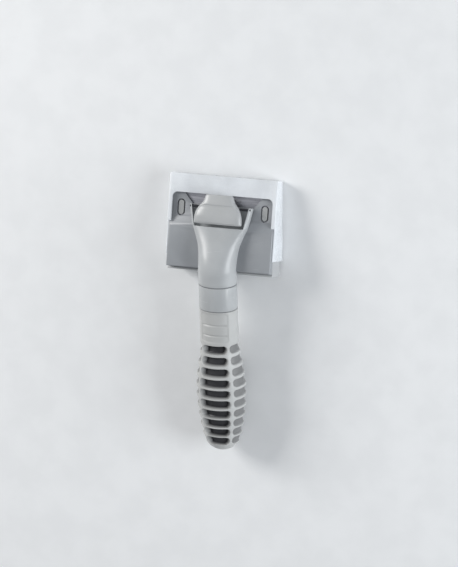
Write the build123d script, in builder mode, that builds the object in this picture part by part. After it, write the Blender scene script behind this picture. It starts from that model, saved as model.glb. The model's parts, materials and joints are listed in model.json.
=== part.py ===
from build123d import *
from math import cos, radians, sin, sqrt, tan
import os

# A hand-held algae scraper for aquarium glass, lying on its back.
# X runs across the head, +Y points to the blade, +Z is the thumb side.
# The table plane is Z = 0 and the origin is under the middle of the tool.
# "Head" sizes: u across, v from the head's lower edge to the blade, h out of its face.
# "Handle" sizes: t from the neck root towards the tail, w across, d front to back.

# ---------- overall stance ----------
root_y = 32.122
root_z = 22.095
handle_tilt = 5.0
head_tilt = 12.0

# ---------- handle ----------
neck_width = 25.2
neck_length = 8.8
collar_end = 25.6
collar_width = 25.4
waist_at = 52.8
waist_width = 25.7
shoulder_at = 66.0
shoulder_width = 30.4
belly_at = 81.6
belly_width = 32.9
flank_at = 102.8
flank_width = 29.2
tail_width = 25.6
handle_length = 124.0
tail_round = 13.0
depth_share = 0.88
tail_sections = 7
sleeve_wall = 3.6
core_gap = 0.15
seam_width = 0.6
seam_inset = 0.45
spigot_wall = 3.7
spigot_gap = 0.05
spigot_into_neck = 8.0

# ---------- grip windows ----------
window_count = 10
window_first_at = 51.6
window_pitch = 7.65
window_pitch_loss = 0.15
window_height = 4.9
window_share = 0.7
window_depth = 6.5
side_pocket_depth = 1.3
side_pocket_share = 0.56
groove_at = (34.9, 41.8)
groove_height = 0.9
groove_depth = 0.45

# ---------- head housing ----------
head_half_width = 35.8
face_length = 26.4
bevel_end = 32.5
jaw_end = 48.4
jaw_drop = 2.5
cover_depth = 4.1
back_jaw_setback = 2.4
back_root_depth = 21.0
back_wall = 1.8
back_lip = 1.8
shadow_width = 0.7
shadow_depth = 0.9
side_wall = 2.2
jaw_corner = 4.0
face_corner = 1.2
shell_corner = 1.6
parting_gap = 0.1
cavity_end = 28.5

# ---------- notch, windows and pegs ----------
notch_root_at = 41.0
notch_root_half = 20.6
notch_mouth_half = 26.9
peg_inset = 7.15
peg_v = 38.5
peg_width = 3.4
peg_length = 9.2
peg_socket = 1.2
window_width = 5.3
window_length = 11.0
peg_slot_gap = 0.15

# ---------- blade ----------
blade_side_margin = 1.5
blade_from = 31.0
blade_tip_room = 2.0
blade_thickness = 0.6
blade_bevel = 1.6
blade_edge = 0.12
blade_gap = 0.05
strip_thickness = 0.5
strip_from = 42.6
strip_length = 3.0
strip_half_width = 12.0

# ---------- mound ----------
mound_root_at = -2.0
mound_root_half = 12.2
mound_root_edge = 8.5
mound_crest_at = 4.5
mound_crest_half = 11.9
mound_crest = 12.2
mound_crest_edge = 7.5
mound_slope_at = 15.0
mound_slope_half = 13.6
mound_slope_height = 9.6
mound_slope_edge = 4.5
mound_mid_at = 28.0
mound_mid_half = 18.6
mound_mid_height = 6.4
mound_mid_edge = 2.4
mound_past_notch = 0.6
mound_end_half = 21.6
mound_end_height = 4.8
mound_end_edge = 1.4
crown_margin = 0.4
pocket_wall = 0.4
pocket_floor = 0.8
rim_width = 1.7

# ---------- lever ----------
lever_end_gap = 2.0
lever_end = 48.6
dome_half_width = 16.2
dome_shoulder_at = 33.5
crease_past_pin = 1.5
crease_half_width = 11.6
tab_half_width = 9.2
dome_height = 10.8
dome_low_height = 9.5
crease_height = 10.0
tab_end_height = 8.6
lever_underside = 3.2
tab_underside = 1.2
tab_toe = 2.6
crown_radius = 46.0
pin_from_end = 1.3
pin_h = 2.4
pin_radius = 0.8
pin_gap = 0.05
pad_from = 42.0
pad_length = 3.8
pad_half_width = 7.5
spring_v = 34.0
spring_radius = 2.5
spring_wire = 0.35
spring_turns = 4
spring_top = 6.2
spring_room = 0.6

# ---------- guard ----------
guard_from = 8.0
guard_tip = 60.5
guard_wall = 1.1
guard_end_wall = 1.2
guard_tip_depth = 9.5
guard_gap = 0.22
flange_width = 2.7
flange_from = 29.4
guard_corner = 3.4
guard_edge = 1.0

# ---------- screws ----------
lower_screw_at = 10.0
neck_screw_points = ((-7.0, 23.6), (7.0, 23.6))
screw_seat = 12.0
screw_radius = 1.25
screw_head_radius = 2.5
screw_head_height = 1.7
screw_bite = 2.9
neck_screw_reach = 4.2
screw_gap = 0.05
boss_radius = 3.6
boss_into_wall = 0.5
drive_width = 0.7
drive_length = 2.9
drive_depth = 0.8
spigot_screw_at = 17.0
spigot_screw_sink = 2.4
spigot_screw_length = 6.4

# ---------- places and sizes that follow from the ones above ----------
tail_from = handle_length - tail_round
peg_u = head_half_width - peg_inset
blade_half_width = head_half_width - blade_side_margin
screw_bore = screw_radius + screw_gap
head_bore = screw_head_radius + screw_gap
screw_u = head_half_width - side_wall - boss_radius + boss_into_wall
upper_screw_at = cavity_end - boss_radius + boss_into_wall
screw_points = tuple((u, v) for v in (lower_screw_at, upper_screw_at) for u in (-screw_u, screw_u))
guard_half_width = head_half_width + guard_gap + guard_wall
blade_tip = guard_tip - guard_end_wall - blade_tip_room
back_jaw_end = jaw_end - back_jaw_setback
mound_end = notch_root_at + mound_past_notch
pocket_from = mound_mid_at - pocket_wall
lever_from = pocket_from + lever_end_gap
pin_v = mound_end - pin_from_end
crease_at = pin_v + crease_past_pin
blade_top = -(cover_depth + blade_gap)
blade_bottom = blade_top - blade_thickness
back_top = -(cover_depth + parting_gap)
back_slope = tan(radians(head_tilt))
back_tip_depth = back_root_depth - back_slope * back_jaw_end
thinnest_depth = min(neck_width, collar_width) * depth_share / 2
spigot_screw_seat = thinnest_depth - spigot_screw_sink
spigot_radius = thinnest_depth - spigot_wall

# ---------- planes ----------
root = (0, root_y, root_z)
handle_down = (0, -cos(radians(handle_tilt)), -sin(radians(handle_tilt)))
head_normal = (0, sin(radians(head_tilt)), cos(radians(head_tilt)))
head_up = (0, cos(radians(head_tilt)), -sin(radians(head_tilt)))
handle_plane = Plane(origin=root, x_dir=(1, 0, 0), z_dir=handle_down)
handle_front = Plane(origin=root, x_dir=(1, 0, 0), z_dir=handle_plane.y_dir)
handle_side = Plane(origin=root, x_dir=handle_plane.y_dir, z_dir=(1, 0, 0))
head_plane = Plane(origin=root, x_dir=(1, 0, 0), z_dir=head_normal)
head_side = Plane(origin=root, x_dir=head_up, z_dir=(1, 0, 0))

os.makedirs("parts", exist_ok=True)


def save(part, name):
    """Label one piece and write it under its own name."""
    part.label = name
    export_step(part, f"parts/{name}.step")


# ---------- shared shapes ----------
def back_surface(v):
    """Height of the housing's outer back face at v."""
    return back_slope * v - back_root_depth


def prism(points, half_width):
    """A solid with one (v, h) outline all the way across, half_width to each side."""
    with BuildPart() as solid:
        with BuildSketch(head_side):
            with BuildLine():
                Polyline(*points, close=True)
            make_face()
        extrude(amount=half_width, both=True)
    return solid.part


def slab(outline, low, high):
    """A solid with one (u, v) outline, standing from low to high above the head plane."""
    with BuildPart() as solid:
        with BuildSketch(head_plane.offset(low)):
            with BuildLine():
                Polyline(*outline, close=True)
            make_face()
        extrude(amount=high - low)
    return solid.part


def oblong(half_width, low, high):
    """Corners of a rectangle centred across the head, from low to high along it."""
    return [(-half_width, low), (half_width, low), (half_width, high), (-half_width, high)]


def posts(points, radius, low, high):
    """Round posts standing on the head plane's normal."""
    with BuildPart() as solid:
        with BuildSketch(head_plane.offset(low)):
            with Locations(*points):
                Circle(radius)
        extrude(amount=high - low)
    return solid.part


def ovals(length, width, low, high):
    """The pair of upright oval posts that every peg, slot and window shares."""
    with BuildPart() as solid:
        with BuildSketch(head_plane.offset(low)):
            with Locations((-peg_u, peg_v), (peg_u, peg_v)):
                SlotOverall(length, width, rotation=90)
        extrude(amount=high - low)
    return solid.part


def tail_section(t):
    """Full width of the rounded tail at t."""
    along = (t - tail_from) / (handle_length - tail_from)
    return tail_width * sqrt(1 - along * along)


def core_stations():
    """Distance and width of each section down to where the tail starts to round off."""
    stations = [(collar_end, collar_width), (waist_at, waist_width)]
    stations += [(shoulder_at, shoulder_width), (belly_at, belly_width)]
    return stations + [(flank_at, flank_width), (tail_from, tail_width)]


def tail_stations():
    """Sections of the rounded tail, closer together towards its tip."""
    shares = [sin(radians(90 * k / tail_sections)) for k in range(tail_sections)]
    return [(t, tail_section(t)) for t in (tail_from + (handle_length - tail_from) * s for s in shares)]


def width_at(t):
    """Grip width at t, read along straight lines between the sections."""
    stations = core_stations()
    for (t0, w0), (t1, w1) in zip(stations, stations[1:]):
        if t <= t1:
            return w0 + (w1 - w0) * (t - t0) / (t1 - t0)
    return tail_section(t)


def handle_loft(stations, inset=0.0, straight=False):
    """One solid through oval sections square to the handle's axis."""
    with BuildPart() as body:
        for t, width in stations:
            with BuildSketch(handle_plane.offset(t)):
                Ellipse(width / 2 - inset, width * depth_share / 2 - inset)
        loft(ruled=straight)
    return body.part


def window_centres():
    """Centres of the grip windows, closing up slightly towards the tail."""
    centres = []
    t = window_first_at
    for k in range(window_count):
        centres.append(t)
        t += window_pitch - window_pitch_loss * k
    return centres


def neck_tube(clearance=0.0):
    """The oval neck, carried on past its root so that it reaches into the head."""
    reach = mound_end / 2
    with BuildPart() as tube:
        with BuildSketch(handle_plane.offset(-reach)):
            Ellipse(neck_width / 2 + clearance, neck_width * depth_share / 2 + clearance)
        extrude(amount=reach + neck_length)
    return tube.part


def spigot(clearance, start, end):
    """The round bar that joins the core to the neck."""
    with BuildPart() as bar:
        with BuildSketch(handle_plane.offset(start)):
            Circle(spigot_radius + clearance)
        extrude(amount=end - start)
    return bar.part


def rear_bar(radius, near, far):
    """A round bar square to the handle, on its back side, between two depths."""
    with BuildPart() as bar:
        with BuildSketch(handle_front.offset(-far)):
            with Locations((0, -spigot_screw_at)):
                Circle(radius)
        extrude(amount=far - near)
    return bar.part


# ---------- handle ----------
def make_grip_sleeve():
    """The ribbed cage: a soft skin with open windows front and back, pockets at the sides."""
    with BuildPart() as sleeve:
        add(handle_loft(core_stations()))
        add(handle_loft(tail_stations(), straight=True))
        add(handle_loft(core_stations(), sleeve_wall), mode=Mode.SUBTRACT)
        for t in window_centres():
            half = width_at(t) / 2
            for sign in (-1, 1):
                with BuildSketch(handle_front.offset(sign * (half * depth_share - window_depth))):
                    with Locations((0, -t)):
                        SlotOverall(2 * half * window_share, window_height)
                extrude(amount=sign * belly_width, mode=Mode.SUBTRACT)
                with BuildSketch(handle_side.offset(sign * (half - side_pocket_depth))):
                    with Locations((0, t)):
                        SlotOverall(2 * half * depth_share * side_pocket_share, window_height)
                extrude(amount=sign * belly_width, mode=Mode.SUBTRACT)
        for t in groove_at:
            half = width_at(t) / 2
            with BuildSketch(handle_front.offset(half * depth_share - groove_depth)):
                with Locations((0, -t)):
                    SlotOverall(2 * half * window_share, groove_height)
            extrude(amount=belly_width, mode=Mode.SUBTRACT)
    return sleeve.part


def make_grip_core():
    """The stiff bar inside the sleeve, with the spigot that runs up into the neck."""
    with BuildPart() as core:
        add(handle_loft(core_stations(), sleeve_wall + core_gap))
        add(spigot(0.0, neck_length - spigot_into_neck, collar_end + core_gap))
        add(rear_bar(screw_bore, 0.0, belly_width), mode=Mode.SUBTRACT)
    return core.part


def make_collar():
    """Plain ring between the neck and the ribbed sleeve."""
    ends = [(neck_length + seam_width, neck_width), (collar_end - seam_width, collar_width)]
    with BuildPart() as collar:
        add(handle_loft(ends))
        add(spigot(spigot_gap, neck_length, collar_end), mode=Mode.SUBTRACT)
        add(rear_bar(screw_bore, 0.0, collar_width), mode=Mode.SUBTRACT)
        add(rear_bar(head_bore, spigot_screw_seat, collar_width), mode=Mode.SUBTRACT)
    return collar.part


def make_seam_rings():
    """Two soft flat rings that seal the joints at the collar's ends."""
    with BuildPart() as rings:
        for start, width in ((neck_length, neck_width), (collar_end - seam_width, collar_width)):
            with BuildSketch(handle_plane.offset(start)):
                Ellipse(width / 2 - seam_inset, width * depth_share / 2 - seam_inset)
                Circle(spigot_radius + spigot_gap, mode=Mode.SUBTRACT)
            extrude(amount=seam_width)
    return rings.part


def make_spigot_screw():
    """The screw in the back of the collar that holds the spigot."""
    head_top = spigot_screw_seat + screw_head_height
    with BuildPart() as screw:
        add(rear_bar(screw_head_radius, spigot_screw_seat, head_top))
        add(rear_bar(screw_radius, spigot_screw_seat - spigot_screw_length, spigot_screw_seat))
        with BuildSketch(handle_front.offset(-head_top)):
            with Locations((0, -spigot_screw_at)):
                Rectangle(drive_length, drive_width)
                Rectangle(drive_width, drive_length)
        extrude(amount=drive_depth, mode=Mode.SUBTRACT)
    return screw.part


# ---------- neck and mound ----------
def mound_stations():
    """Place, half width, height and edge radius of each section of the mound."""
    stations = [(mound_root_at, mound_root_half, neck_front(mound_root_at), mound_root_edge)]
    stations.append((mound_crest_at, mound_crest_half, mound_crest, mound_crest_edge))
    stations.append((mound_slope_at, mound_slope_half, mound_slope_height, mound_slope_edge))
    stations.append((mound_mid_at, mound_mid_half, mound_mid_height, mound_mid_edge))
    stations.append((mound_end, mound_end_half, mound_end_height, mound_end_edge))
    return stations


def neck_front(v):
    """Height of the neck's front line above the head plane at v."""
    bend = radians(handle_tilt + head_tilt)
    return neck_width * depth_share / 2 / cos(bend) + v * tan(bend)


def make_mound():
    """The swelling on the head's face, lofted from the oval neck to a wide low end."""
    with BuildPart() as mound:
        for v, half, height, edge in mound_stations():
            across = Plane(origin=head_plane.from_local_coords((0, v, 0)), x_dir=(1, 0, 0), z_dir=head_up)
            with BuildSketch(across):
                RectangleRounded(2 * half, 2 * height, edge)
        loft()
        split(bisect_by=head_plane, keep=Keep.TOP)
    return mound.part


def over_crown():
    """Everything above the mound's crown, to be cut away from the neck's inner end."""
    start = (mound_root_at, neck_front(mound_root_at))
    crown = [(v, height - crown_margin) for v, half, height, edge in mound_stations()[1:]]
    far = 3 * mound_end
    with BuildPart() as space:
        with BuildSketch(head_side):
            with BuildLine():
                Spline(start, *crown)
                Line(crown[-1], (far, mound_end_height))
                Line((far, mound_end_height), (far, far))
                Line((far, far), (mound_root_at, far))
                Line((mound_root_at, far), start)
            make_face()
        extrude(amount=head_half_width, both=True)
    return space.part


def make_neck_body():
    """The neck and the mound it runs into, one moulding, hollowed for the lever and the spigot."""
    deep = 2 * back_root_depth
    pocket_half = mound_mid_half - rim_width
    pocket_end_half = mound_end_half - rim_width
    pocket = [(-pocket_half, pocket_from), (pocket_half, pocket_from)]
    pocket += [(pocket_end_half, mound_end + 1), (-pocket_end_half, mound_end + 1)]
    with BuildPart() as body:
        add(neck_tube())
        add(over_crown(), mode=Mode.SUBTRACT)
        add(make_mound())
        add(spigot(spigot_gap, neck_length - spigot_into_neck - spigot_gap, collar_end), mode=Mode.SUBTRACT)
        add(slab(pocket, pocket_floor, mound_crest + 2), mode=Mode.SUBTRACT)
        add(posts(neck_screw_points, screw_bore, -deep, neck_screw_reach), mode=Mode.SUBTRACT)
        with BuildSketch(head_side):
            with Locations((pin_v, pin_h)):
                Circle(pin_radius + screw_gap)
        extrude(amount=mound_end_half - rim_width / 2, both=True, mode=Mode.SUBTRACT)
    return body.part


# ---------- head housing ----------
def make_front_cover():
    """Front half of the head: flat face, bevel, thin jaw with its notch and two oval windows."""
    profile = [(0, 0), (face_length, 0), (bevel_end, -jaw_drop), (jaw_end, -jaw_drop)]
    profile += [(jaw_end, -cover_depth), (0, -cover_depth)]
    notch = [(-notch_root_half, notch_root_at), (notch_root_half, notch_root_at)]
    spread = (notch_mouth_half - notch_root_half) / (jaw_end - notch_root_at)
    mouth = notch_root_half + spread * (jaw_end + 1 - notch_root_at)
    notch += [(mouth, jaw_end + 1), (-mouth, jaw_end + 1)]
    pilot = cover_depth - screw_bite
    with BuildPart() as cover:
        add(prism(profile, head_half_width))
        front = cover.faces().sort_by(Axis(root, head_normal))[-1]
        along = front.edges().filter_by(Axis(root, head_up))
        fillet(along + front.edges().sort_by(Axis(root, head_up))[:1], radius=face_corner)
        corners = cover.edges().filter_by(Axis(root, head_normal)).sort_by(Axis(root, head_up))[-2:]
        fillet(corners, radius=jaw_corner)
        add(slab(notch, -cover_depth - 1, 1), mode=Mode.SUBTRACT)
        add(ovals(window_length, window_width, -cover_depth - 1, 1), mode=Mode.SUBTRACT)
        add(neck_tube(parting_gap), mode=Mode.SUBTRACT)
        add(posts(screw_points, screw_bore, -cover_depth, -pilot + screw_gap), mode=Mode.SUBTRACT)
        add(posts(neck_screw_points, screw_bore, -cover_depth, 1), mode=Mode.SUBTRACT)
    return cover.part


def make_back_shell():
    """Back half of the head: a hollow wedge with the seat, the screws and a shadow groove."""
    groove_floor = back_top - shadow_depth
    profile = [(-back_lip, back_top), (-shadow_width, back_top), (-shadow_width, groove_floor)]
    profile += [(0, groove_floor), (0, back_top), (back_jaw_end, back_top)]
    profile += [(back_jaw_end, -back_tip_depth), (-back_lip, back_surface(-back_lip))]
    hollow = [(side_wall, back_top + 1), (cavity_end, back_top + 1)]
    hollow.append((cavity_end, back_surface(cavity_end) + back_wall))
    hollow.append((side_wall, back_surface(side_wall) + back_wall))
    seat = oblong(blade_half_width + blade_gap, blade_from - blade_gap, jaw_end)
    strip = oblong(strip_half_width, strip_from, strip_from + strip_length)
    far_back = -2 * back_root_depth
    every_screw = screw_points + neck_screw_points
    with BuildPart() as space:
        add(prism(hollow, head_half_width - side_wall))
        add(posts(every_screw, boss_radius, -2 * back_root_depth, 0), mode=Mode.SUBTRACT)
    with BuildPart() as shell:
        add(prism(profile, head_half_width))
        rear = shell.faces().sort_by(Axis(root, head_normal))[0]
        fillet(rear.edges(), radius=shell_corner)
        add(space.part, mode=Mode.SUBTRACT)
        add(slab(seat, blade_bottom - blade_gap, 0), mode=Mode.SUBTRACT)
        add(slab(strip, blade_bottom - blade_gap - strip_thickness, 0), mode=Mode.SUBTRACT)
        add(ovals(peg_length, peg_width, blade_bottom - peg_socket, 0), mode=Mode.SUBTRACT)
        add(neck_tube(parting_gap), mode=Mode.SUBTRACT)
        add(posts(every_screw, screw_bore, far_back, 0), mode=Mode.SUBTRACT)
        add(posts(every_screw, head_bore, far_back, -screw_seat), mode=Mode.SUBTRACT)
    return shell.part


def make_screws(points, reach):
    """Pan-head screws driven in from the back, one group of equal solids."""
    head_low = -screw_seat - screw_head_height
    with BuildPart() as screws:
        add(posts(points, screw_head_radius, head_low, -screw_seat))
        add(posts(points, screw_radius, -screw_seat, reach))
        with BuildSketch(head_plane.offset(head_low)):
            with Locations(*points):
                Rectangle(drive_length, drive_width)
                Rectangle(drive_width, drive_length)
        extrude(amount=drive_depth, mode=Mode.SUBTRACT)
    return screws.part


# ---------- blade and its seat ----------
def make_blade():
    """Steel blade, ground to one edge, with two oval slots for the pegs."""
    edge_top = blade_top - (blade_thickness - blade_edge) / 2
    profile = [(blade_from, blade_top), (blade_tip - blade_bevel, blade_top), (blade_tip, edge_top)]
    profile += [(blade_tip, edge_top - blade_edge), (blade_tip - blade_bevel, blade_bottom)]
    profile.append((blade_from, blade_bottom))
    with BuildPart() as blade:
        add(prism(profile, blade_half_width))
        slot = 2 * peg_slot_gap
        add(ovals(peg_length + slot, peg_width + slot, blade_bottom - 1, 0), mode=Mode.SUBTRACT)
    return blade.part


def make_pegs():
    """Two upright oval pegs that stop the blade from shifting."""
    with BuildPart() as pegs:
        add(ovals(peg_length, peg_width, blade_bottom - peg_socket, -jaw_drop))
    return pegs.part


def make_seat_strip():
    """Thin soft strip under the blade, opposite the lever's pad."""
    low = blade_bottom - blade_gap - strip_thickness
    outline = oblong(strip_half_width, strip_from, strip_from + strip_length)
    return slab(outline, low, blade_bottom - blade_gap)


# ---------- lever ----------
def lever_outline():
    """Plan of the lever: a bell, wide at the thumb end and narrow at the tab."""
    side = [(dome_half_width, lever_from), (dome_half_width, dome_shoulder_at)]
    side += [(crease_half_width, crease_at), (tab_half_width, lever_end)]
    with BuildLine(Plane.XY) as outline:
        straight = Line(side[0], side[1])
        bell = Spline(side[1], side[2], side[3], tangents=((0, 1), (-0.1, 1)))
        mirror(straight, about=Plane.YZ)
        mirror(bell, about=Plane.YZ)
        Line((-side[0][0], side[0][1]), side[0])
        Line((-side[3][0], side[3][1]), side[3])
    return outline.line


def make_lever():
    """Rocking clamp lever: thumb dome behind the pin, tab in front of it."""
    low = (lever_from, dome_low_height)
    crease = (crease_at, crease_height)
    with BuildPart() as plan:
        with BuildSketch(head_plane):
            add(lever_outline())
            make_face()
        extrude(amount=mound_crest)
    with BuildPart() as side:
        with BuildSketch(head_side):
            with BuildLine():
                Line((lever_from, lever_underside), low)
                ThreePointArc(low, (dome_shoulder_at, dome_height), crease)
                Line(crease, (lever_end, tab_end_height))
                Line((lever_end, tab_end_height), (lever_end - tab_toe, tab_underside))
                Line((lever_end - tab_toe, tab_underside), (pin_v, tab_underside))
                Line((pin_v, tab_underside), (pin_v - 2 * pin_radius, lever_underside))
                Line((pin_v - 2 * pin_radius, lever_underside), (lever_from, lever_underside))
            make_face()
        extrude(amount=head_half_width, both=True)
    with BuildPart() as crown:
        with BuildSketch(Plane(origin=root, x_dir=(1, 0, 0), z_dir=head_up)):
            with Locations((0, crown_radius - dome_height)):
                Circle(crown_radius)
        extrude(amount=2 * lever_end)
    with BuildPart() as lever:
        add(plan.part)
        add(side.part, mode=Mode.INTERSECT)
        add(crown.part, mode=Mode.INTERSECT)
        with BuildSketch(head_side):
            with Locations((pin_v, pin_h)):
                Circle(pin_radius + pin_gap)
        extrude(amount=head_half_width, both=True, mode=Mode.SUBTRACT)
        add(posts(((0, spring_v),), spring_radius + spring_room, 0, spring_top), mode=Mode.SUBTRACT)
    return lever.part


def make_clamp_pad():
    """Soft pad under the tab that presses the blade through the notch."""
    outline = oblong(pad_half_width, pad_from, pad_from + pad_length)
    return slab(outline, blade_top + blade_gap, tab_underside)


def make_lever_pin():
    """Steel cross pin, held in both rims of the mound."""
    with BuildPart() as pin:
        with BuildSketch(head_side):
            with Locations((pin_v, pin_h)):
                Circle(pin_radius)
        extrude(amount=mound_end_half - rim_width / 2 - screw_gap, both=True)
    return pin.part


def make_lever_spring():
    """Coil spring that pushes the thumb dome back up."""
    height = spring_top - pocket_floor - 2 * spring_wire - 2 * screw_gap
    base = head_plane.from_local_coords((0, spring_v, pocket_floor + spring_wire + screw_gap))
    with BuildPart() as spring:
        with BuildLine() as path:
            Helix(height / spring_turns, height, spring_radius, center=base, direction=head_normal)
        with BuildSketch(Plane(origin=path.line @ 0, z_dir=path.line % 0)):
            Circle(spring_wire)
        sweep()
    return spring.part


# ---------- guard ----------
def make_guard():
    """Translucent sheath over the blade: closed tip, side walls, back panel, open at the front."""
    back_gap = guard_gap + guard_wall
    outer = [(guard_from, -face_corner), (flange_from, -face_corner), (flange_from, 0), (guard_tip, 0)]
    outer += [(guard_tip, -guard_tip_depth), (back_jaw_end, back_surface(back_jaw_end) - back_gap)]
    outer.append((guard_from, back_surface(guard_from) - back_gap))
    tip = guard_tip - guard_end_wall
    inner = [(guard_from - 1, 1), (flange_from, 1), (flange_from, -guard_wall), (tip, -guard_wall)]
    inner += [(tip, guard_wall - guard_tip_depth), (back_jaw_end, back_surface(back_jaw_end) - guard_gap)]
    inner.append((guard_from - 1, back_surface(guard_from - 1) - guard_gap))
    opening = oblong(guard_half_width - flange_width, flange_from - 1, jaw_end)
    with BuildPart() as front_cut:
        add(slab(opening, -2 * guard_wall, 1))
        top = front_cut.edges().filter_by(Axis(root, head_normal)).sort_by(Axis(root, head_up))[-2:]
        fillet(top, radius=guard_corner)
    with BuildPart() as guard:
        add(prism(outer, guard_half_width))
        long_edges = [e for e in guard.edges() if abs(e.tangent_at(0).X) < 0.5 and e.length > flange_width]
        fillet(long_edges, radius=guard_edge)
        add(prism(inner, guard_half_width - guard_wall), mode=Mode.SUBTRACT)
        add(front_cut.part, mode=Mode.SUBTRACT)
    return guard.part


save(make_grip_sleeve(), "grip_sleeve")
save(make_grip_core(), "grip_core")
save(make_collar(), "handle_collar")
save(make_seam_rings(), "seam_rings")
save(make_spigot_screw(), "spigot_screw")
save(make_neck_body(), "neck_body")
save(make_front_cover(), "head_front_cover")
save(make_back_shell(), "head_back_shell")
save(make_screws(screw_points, screw_bite - cover_depth), "head_screws")
save(make_screws(neck_screw_points, neck_screw_reach - screw_gap), "neck_screws")
save(make_blade(), "blade")
save(make_pegs(), "blade_pegs")
save(make_seat_strip(), "blade_seat_strip")
save(make_lever(), "clamp_lever")
save(make_clamp_pad(), "clamp_pad")
save(make_lever_pin(), "lever_pin")
save(make_lever_spring(), "lever_spring")
save(make_guard(), "blade_guard")
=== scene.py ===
# %% [markdown]
# # Algae scraper for aquarium glass
# A wide clamp head holds a steel blade, a thumb lever rocks on a cross pin to
# let the blade go, a milky sheath guards the edge, and a ribbed cage makes the
# grip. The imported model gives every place; this notebook makes the surfaces.

# %% Load the fixed frame
import json
import math
import bmesh
import bpy
from mathutils import Matrix, Vector


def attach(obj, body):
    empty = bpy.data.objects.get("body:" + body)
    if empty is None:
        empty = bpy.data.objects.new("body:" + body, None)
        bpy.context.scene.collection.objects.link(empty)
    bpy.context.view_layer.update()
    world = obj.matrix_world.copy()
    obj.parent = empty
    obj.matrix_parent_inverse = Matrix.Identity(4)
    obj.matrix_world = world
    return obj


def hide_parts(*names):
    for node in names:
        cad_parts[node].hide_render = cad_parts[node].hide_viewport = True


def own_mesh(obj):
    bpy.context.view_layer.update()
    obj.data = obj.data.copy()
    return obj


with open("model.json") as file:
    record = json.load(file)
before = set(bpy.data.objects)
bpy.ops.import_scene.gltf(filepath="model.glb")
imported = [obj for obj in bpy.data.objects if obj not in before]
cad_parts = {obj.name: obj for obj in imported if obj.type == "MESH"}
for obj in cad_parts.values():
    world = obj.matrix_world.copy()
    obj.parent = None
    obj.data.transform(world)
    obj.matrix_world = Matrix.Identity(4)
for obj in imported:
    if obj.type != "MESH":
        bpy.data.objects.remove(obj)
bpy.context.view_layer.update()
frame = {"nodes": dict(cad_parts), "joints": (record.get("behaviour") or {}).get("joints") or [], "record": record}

# %% [markdown]
# ## Two leaning planes
# The tool is bent at the neck root. Its head leans down to the blade and its
# handle leans down to the tail, so most shapes are easiest to state in one of
# two sets of axes: across, along and out of the head, or across, out of and
# along the handle. The head's lean is the guard's own sliding direction.

# %% Axes of the head and the handle
MM = 0.001
joints = {j["name"]: j for j in frame["joints"]}
ACROSS = Vector((1, 0, 0))
HEAD_UP = Vector(joints["guard_slide"]["axis"]).normalized()
HEAD_OUT = ACROSS.cross(HEAD_UP)
PIN_V, PIN_H = 40.3, 2.4
recorded = {j["name"]: j for j in frame["record"]["behaviour"]["joints"]}
PIN_POINT = Vector(recorded["lever_press"]["pos_m"])
ROOT = PIN_POINT - (HEAD_UP * PIN_V + HEAD_OUT * PIN_H) * MM
HANDLE_LEAN = math.radians(5.0)
TAILWARD = Vector((0, -math.cos(HANDLE_LEAN), -math.sin(HANDLE_LEAN)))
HANDLE_OUT = TAILWARD.cross(ACROSS)
BEND = math.acos(-TAILWARD.dot(HEAD_UP))


def on_head(u, v, h):
    """A point given across, towards the blade and out of the head's face, in mm."""
    return ROOT + (ACROSS * u + HEAD_UP * v + HEAD_OUT * h) * MM


print("neck root", tuple(round(c, 5) for c in ROOT), "bend", round(math.degrees(BEND), 2))

# %% [markdown]
# ## Camera, floor and light
# A long lens from well above the face, a little to the right, keeps the two
# sides of the head almost parallel. One large soft lamp stands up and left of
# the blade, and a closer one fills from low on the right so that it grazes the grip.

# %% Camera
SIDE_TURN = math.radians(20.0)
RISE = math.radians(15.0)
LENS = 269.8
DISTANCE = 2.742
AIM_RIGHT = 7.5
AIM_DOWN = 8.7
level = math.cos(RISE)
toward_camera = Vector((math.sin(SIDE_TURN) * level, math.sin(RISE), math.cos(SIDE_TURN) * level))
right_hand = Vector((0, 1, 0)).cross(toward_camera).normalized()
upright = toward_camera.cross(right_hand)
aim = ROOT + (right_hand * AIM_RIGHT - upright * AIM_DOWN) * MM
camera_data = bpy.data.cameras.new("camera")
camera_data.lens = LENS
camera_data.sensor_width = 36.0
camera_data.clip_end = 20.0
camera = bpy.data.objects.new("camera", camera_data)
bpy.context.scene.collection.objects.link(camera)
turn = Matrix((right_hand, upright, toward_camera)).transposed()
camera.matrix_world = Matrix.Translation(aim + toward_camera * DISTANCE) @ turn.to_4x4()
bpy.context.scene.camera = camera


# %% [markdown]
# ## Soft light
# Large square lamps give broad, soft highlights, as a light tent does. Small ones
# would leave hard spots that hide the shape of satin plastic.

# %% Floor and lamps
def soft_lamp(name, place, size, watts, colour):
    """A square lamp that faces the middle of the tool."""
    data = bpy.data.lights.new(name, "AREA")
    data.size = size
    data.energy = watts
    data.color = colour
    lamp = bpy.data.objects.new(name, data)
    lamp.location = place
    lamp.rotation_euler = (Vector(place) * -1).to_track_quat("-Z", "Y").to_euler()
    bpy.context.scene.collection.objects.link(lamp)


soft_lamp("key lamp", (-1.1, 0.6, 0.62), 0.6, 15.0, (1.0, 0.99, 0.97))
soft_lamp("fill lamp", (1.2, 0.0, 0.45), 0.7, 12.0, (0.95, 0.98, 1.0))
soft_lamp("low lamp", (0.1, -1.2, 0.8), 0.9, 1.2, (1.0, 1.0, 1.0))
world = bpy.data.worlds.new("room")
bpy.context.scene.world = world
world.use_nodes = True
world.node_tree.nodes["Background"].inputs["Color"].default_value = (0.9, 0.93, 0.97, 1)
world.node_tree.nodes["Background"].inputs["Strength"].default_value = 0.38
bpy.context.scene.view_settings.view_transform = "Standard"

# %% [markdown]
# ## A short way to write node trees
# Geometry trees and shader groups are both long chains of small sums. A little
# wrapper makes each node, links or sets its inputs, and hands back the output,
# so a rule such as a rounded window can be read like ordinary arithmetic.

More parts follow.
